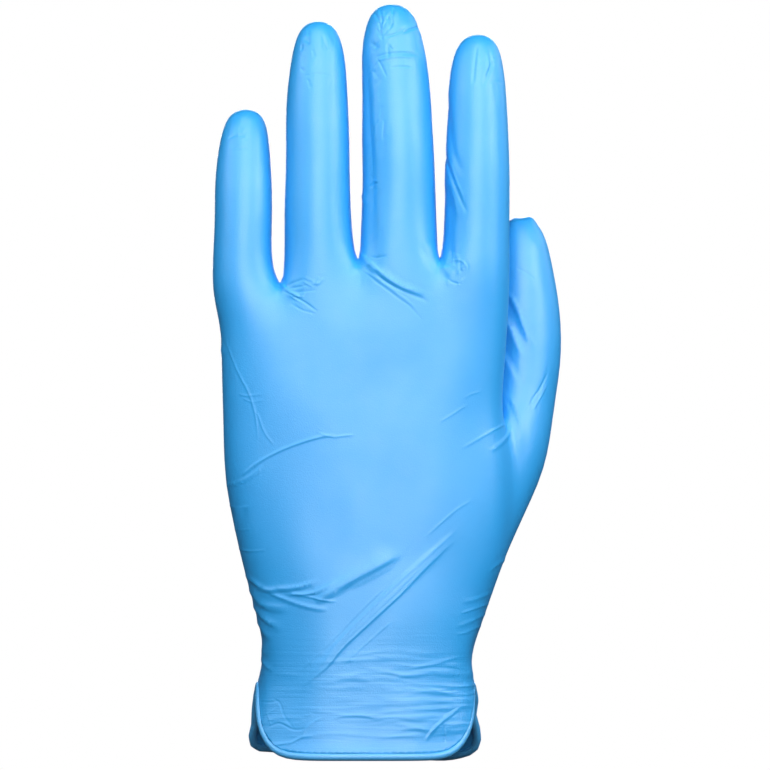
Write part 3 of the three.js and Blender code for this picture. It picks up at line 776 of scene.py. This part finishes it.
# The outside gets finer triangles where the folds are, and stays plain where the film is smooth.
finest_steps = (2.0 * mm, 1.2 * mm, 0.7 * mm, 0.4 * mm, 0.38 * mm)
back_reaches = 4 * mm
beside_fold = 1.5 * mm
outer_points, outer_normals, outer_thumb, outer_triangles = points, normals, thumb_share, triangles
for finest in finest_steps:

    def wanted(centre, length):
        places = centre[:, [0, 2]]
        near = np.zeros(len(places), bool)
        on_back = centre[:, 1] < back_reaches
        for fold in film_folds:
            found, away, _ = fold.near(places, beside_fold)
            close = np.abs(away) < fold.gentle + length[found] / 2
            if fold.face == "thumb":
                fits = centre[found, 1] > 0
            else:
                fits = on_back[found] == (fold.face == "back")
            widest = fold.half * fold.widest
            near[found[close & fits & (length[found] > max(finest, widest))]] = True
        return near

    outer_points, outer_normals, outer_thumb, outer_triangles = halve_edges(
        outer_points, outer_normals, outer_thumb, outer_triangles, wanted
    )

outer_rise = raise_film(outer_points, outer_normals, outer_thumb)
outer = outer_points + outer_normals * outer_rise[:, None]
inner_rise = raise_film(points, normals, thumb_share)
inner = points + normals * (inner_rise - film_wall)[:, None]

shift = len(outer)
rim_outer = np.array(rim)
rim_inner = rim_outer + shift
rim_after = np.roll(rim_outer, -1)
closing = np.concatenate([
    np.stack((rim_after, rim_outer, rim_inner), axis=1),
    np.stack((rim_after, rim_inner, np.roll(rim_inner, -1)), axis=1),
])
film_triangles = np.concatenate([outer_triangles, triangles[:, ::-1] + shift, closing])
film_points = np.concatenate([outer, inner])


def mesh_object(name, points, faces):
    mesh = bpy.data.meshes.new(name)
    mesh.from_pydata(points.tolist(), [], faces.tolist())
    mesh.shade_smooth()
    made = bpy.data.objects.new(name, mesh)
    bpy.context.collection.objects.link(made)
    return made


film = mesh_object("film", film_points, film_triangles)
# The folds' heights go to the material, which paints shade into the creases and highlight along the crests.
fold_shade_attribute = film.data.attributes.new("fold", "FLOAT", "POINT")
fold_shade_attribute.data.foreach_set("value", np.concatenate([outer_rise, inner_rise]) / mm)


class Socket:
    """An output of a material's node, so that shader maths reads as Python expressions."""

    def __init__(self, tree, output=None):
        self.tree, self.output = tree, output

    def node(self, kind, settings, inputs, output=0):
        made = self.tree.nodes.new(kind)
        for name, value in settings.items():
            setattr(made, name, value)
        for name, value in inputs.items():
            if isinstance(value, Socket):
                self.tree.links.new(value.output, made.inputs[name])
            else:
                made.inputs[name].default_value = value
        return Socket(self.tree, made.outputs[output] if made.outputs else None)

    def maths(self, operation, a, b):
        return self.node("ShaderNodeMath", {"operation": operation}, {0: a, 1: b})

    def __add__(self, other):
        return self.maths("ADD", self, other)

    def __radd__(self, other):
        return self.maths("ADD", other, self)

    def __sub__(self, other):
        return self.maths("SUBTRACT", self, other)

    def __rsub__(self, other):
        return self.maths("SUBTRACT", other, self)

    def __mul__(self, other):
        return self.maths("MULTIPLY", self, other)

    def __rmul__(self, other):
        return self.maths("MULTIPLY", other, self)

    def clamped(self, low, high):
        return self.node("ShaderNodeClamp", {}, {"Value": self, "Min": low, "Max": high})


def nitrile(name, light, deep):
    """Satin blue nitrile: faint mottling, a fine grain, and painted shade in its creases with painted
    highlight along its folds.
    """
    material = bpy.data.materials.new(name)
    material.use_nodes = True
    tree = material.node_tree
    tree.nodes.clear()
    start = Socket(tree)
    place = start.node("ShaderNodeTexCoord", {}, {}, "Object")

    def noise(vector, scale, detail, distortion=0.0):
        return start.node(
            "ShaderNodeTexNoise", {},
            {"Vector": vector, "Scale": scale, "Detail": detail, "Distortion": distortion}, "Fac",
        )

    cloud = noise(place, 38, 3)
    fine_cloud = noise(place, 160, 4)
    grain = noise(place, 2600, 3)
    # Gathers too fine for the mesh run round the wrist: noise that is drawn out level, where the cuff is.
    across_wrist = (40, 40, 900)
    drawn = start.node("ShaderNodeVectorMath", {"operation": "MULTIPLY"}, {0: place, 1: across_wrist})
    gather = noise(drawn, 1, 2, 0.3)
    height = start.node("ShaderNodeSeparateXYZ", {}, {"Vector": place}, "Z")
    cuff = (2.2 - 45 * height).clamped(0, 1)
    relief = grain + 2.2 * (cuff * gather)
    relief_depth = 0.12 * mm
    skin = start.node("ShaderNodeBump", {}, {"Strength": 0.4, "Distance": relief_depth, "Height": relief})
    # The colour is a little deeper in the creases, as painted shade, and lighter along the folds' crests, as
    # painted highlight; the clouds are the film's own mottling.
    fold = start.node("ShaderNodeAttribute", {"attribute_name": "fold"}, {}, "Fac")
    mottle_and_crease_shade = (0.35 + 0.5 * (cloud - 0.5) + 0.35 * (fine_cloud - 0.5) - 0.12 * fold).clamped(0, 1)
    colour = start.node("ShaderNodeMix", {"data_type": "RGBA"}, {0: mottle_and_crease_shade, 6: light, 7: deep}, 2)
    rough = 0.45 + 0.14 * (fine_cloud - 0.5) + 0.06 * (cloud - 0.5)
    shader = start.node(
        "ShaderNodeBsdfPrincipled", {},
        {"Base Color": colour, "Roughness": rough, "Normal": skin, "IOR": 1.55, "Specular IOR Level": 1.0},
    )
    start.node("ShaderNodeOutputMaterial", {}, {"Surface": shader})
    return material


film_light = (0.022, 0.385, 0.87, 1)
film_deep = (0.008, 0.33, 0.83, 1)
film_nitrile = nitrile("nitrile_film", film_light, film_deep)
film.data.materials.append(film_nitrile)
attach(film, "root")
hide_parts("glove")

# The rim of the cuff is the same nitrile, rolled back on itself into a round bead that keeps it from tearing
# and curling. It follows the film's edge all the way round the wrist, a little inside and below it.
bead_radius = 1.25 * mm
bead_sides = 14
bead_inset = 0.8
bead_drop = 0.6
# The bead's colours are a lighter copy of the film's: a painted highlight on the roll.
bead_highlit_light = (0.09, 0.47, 0.94, 1)
bead_highlit_deep = (0.04, 0.41, 0.9, 1)

rim_normals = normals[rim]
rim_run = np.roll(rim_places, -1, axis=0) - np.roll(rim_places, 1, axis=0)
rim_down = np.cross(rim_run, rim_normals)
rim_down /= np.linalg.norm(rim_down, axis=1, keepdims=True)
bead_line = rim_places - rim_normals * bead_radius * bead_inset + rim_down * bead_radius * bead_drop
bead_mesh = bpy.data.meshes.new("rim_bead")
count = len(bead_line)
bead_mesh.from_pydata(bead_line.tolist(), [(i, (i + 1) % count) for i in range(count)], [])
bead = bpy.data.objects.new("rim_bead", bead_mesh)
bpy.context.collection.objects.link(bead)
bead_nitrile = nitrile("nitrile_bead", bead_highlit_light, bead_highlit_deep)

roll = bpy.data.node_groups.new("rolled_bead", "GeometryNodeTree")
roll.interface.new_socket("Line", in_out="INPUT", socket_type="NodeSocketGeometry")
radius_input = roll.interface.new_socket("Radius", in_out="INPUT", socket_type="NodeSocketFloat")
sides_input = roll.interface.new_socket("Sides", in_out="INPUT", socket_type="NodeSocketInt")
roll.interface.new_socket("Bead", in_out="OUTPUT", socket_type="NodeSocketGeometry")


def geometry_node(kind, settings, inputs):
    made = roll.nodes.new(kind)
    for name, value in settings.items():
        setattr(made, name, value)
    for name, value in inputs.items():
        if isinstance(value, bpy.types.NodeSocket):
            roll.links.new(value, made.inputs[name])
        else:
            made.inputs[name].default_value = value
    return made


given = geometry_node("NodeGroupInput", {}, {}).outputs
line = geometry_node("GeometryNodeMeshToCurve", {}, {"Mesh": given["Line"]}).outputs[0]
profile = geometry_node(
    "GeometryNodeCurvePrimitiveCircle", {}, {"Resolution": given["Sides"], "Radius": given["Radius"]}
).outputs[0]
tube = geometry_node("GeometryNodeCurveToMesh", {}, {"Curve": line, "Profile Curve": profile}).outputs[0]
whole = geometry_node("GeometryNodeRealizeInstances", {}, {"Geometry": tube}).outputs[0]
finished = geometry_node(
    "GeometryNodeSetMaterial", {}, {"Geometry": whole, "Material": bead_nitrile}
).outputs[0]
geometry_node("NodeGroupOutput", {}, {"Bead": finished})

rolling = bead.modifiers.new("rolling", "NODES")
rolling.node_group = roll
rolling[radius_input.identifier] = bead_radius
rolling[sides_input.identifier] = bead_sides
bead_evaluated = bead.evaluated_get(bpy.context.evaluated_depsgraph_get())
rolled = bpy.data.meshes.new_from_object(bead_evaluated)
bead.modifiers.clear()
bead.data = rolled
rolled.shade_smooth()
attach(bead, "root")
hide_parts("glove")

# The studio is white paper, a floor that sweeps up into a wall all round. Soft lights stand in front, above
# and at the sides, and one behind, where the palm is seen from.
floor_drop = 0.05
wall_distance = 5.5
wall_top = 3.0
sweep_radius = 0.8
sweep_sides = 48
sweep_steps = 12
sweep_profile = [(0.0, -floor_drop)]
for step in range(sweep_steps + 1):
    angle = math.radians(90 * step / sweep_steps)
    sweep_profile.append((
        wall_distance - sweep_radius + sweep_radius * math.sin(angle),
        -floor_drop + sweep_radius - sweep_radius * math.cos(angle),
    ))
sweep_profile.append((wall_distance, wall_top))
turns = [2 * math.pi * i / sweep_sides for i in range(sweep_sides)]
sweep_points = np.array([
    (out * math.sin(t), out * math.cos(t), z) for out, z in sweep_profile for t in turns
])
sweep_faces = np.array([
    (i * sweep_sides + k, (i + 1) * sweep_sides + k, (i + 1) * sweep_sides + after, i * sweep_sides + after)
    for i in range(len(sweep_profile) - 1)
    for k, after in ((k, (k + 1) % sweep_sides) for k in range(sweep_sides))
])
sweep = mesh_object("studio_sweep", sweep_points, sweep_faces)
paper = bpy.data.materials.new("studio_paper")
paper.use_nodes = True
paper_nodes = paper.node_tree.nodes
paper_shader = paper_nodes["Principled BSDF"]
paper_shader.inputs["Base Color"].default_value = (0, 0, 0, 1)
paper_shader.inputs["Roughness"].default_value = 1
paper_shader.inputs["Specular IOR Level"].default_value = 0
paper_shader.inputs["Emission Color"].default_value = (1, 1, 1, 1)
paper_shader.inputs["Emission Strength"].default_value = 1
sweep.data.materials.append(paper)
# Only the camera sees the white paper: it stands so far off that none of its light falls on the glove.
sweep.visible_diffuse = sweep.visible_glossy = sweep.visible_transmission = sweep.visible_shadow = False


def soft_light(name, place, target, side, power):
    """A square area light that stands at a place and is turned to a target."""
    light = bpy.data.lights.new(name, "AREA")
    light.shape = "SQUARE"
    light.size = side
    light.energy = power
    made = bpy.data.objects.new(name, light)
    made.location = place
    direction = np.array(target) - np.array(place)
    made.rotation_euler = (
        math.atan2(math.hypot(direction[0], direction[1]), -direction[2]),
        0,
        math.atan2(direction[1], direction[0]) - math.pi / 2,
    )
    bpy.context.collection.objects.link(made)
    return made


glove_middle = (0.0, 0.0, glove_length / 2)
fingers_middle = (0.0, 0.0, glove_length * 0.75)
soft_light("front_light", (0.0, -0.8, 0.32), fingers_middle, 0.5, 3.2)
soft_light("high_light", (0.1, -0.7, 0.62), fingers_middle, 0.5, 1.8)
soft_light("top_light", (0.0, -0.35, 0.75), fingers_middle, 0.5, 1.8)
soft_light("left_high_light", (-0.6, -0.6, 0.6), fingers_middle, 0.5, 0.65)
soft_light("left_light", (-0.42, -0.2, 0.42), fingers_middle, 0.3, 0.7)
soft_light("right_light", (0.45, -0.3, 0.4), fingers_middle, 0.3, 1.9)
soft_light("side_light", (0.45, 0.2, 0.4), fingers_middle, 0.3, 0.5)
palm_light = soft_light("palm_light", (0.0, 1.8, 0.5), glove_middle, 0.8, 22)
palm_light.visible_camera = False

room_light = 0.05
world = bpy.data.worlds.new("studio_world")
bpy.context.scene.world = world
world.use_nodes = True
background = world.node_tree.nodes["Background"]
background.inputs["Color"].default_value = (1, 1, 1, 1)
background.inputs["Strength"].default_value = room_light
bpy.context.scene.view_settings.view_transform = "Standard"
bpy.context.scene.view_settings.look = "None"
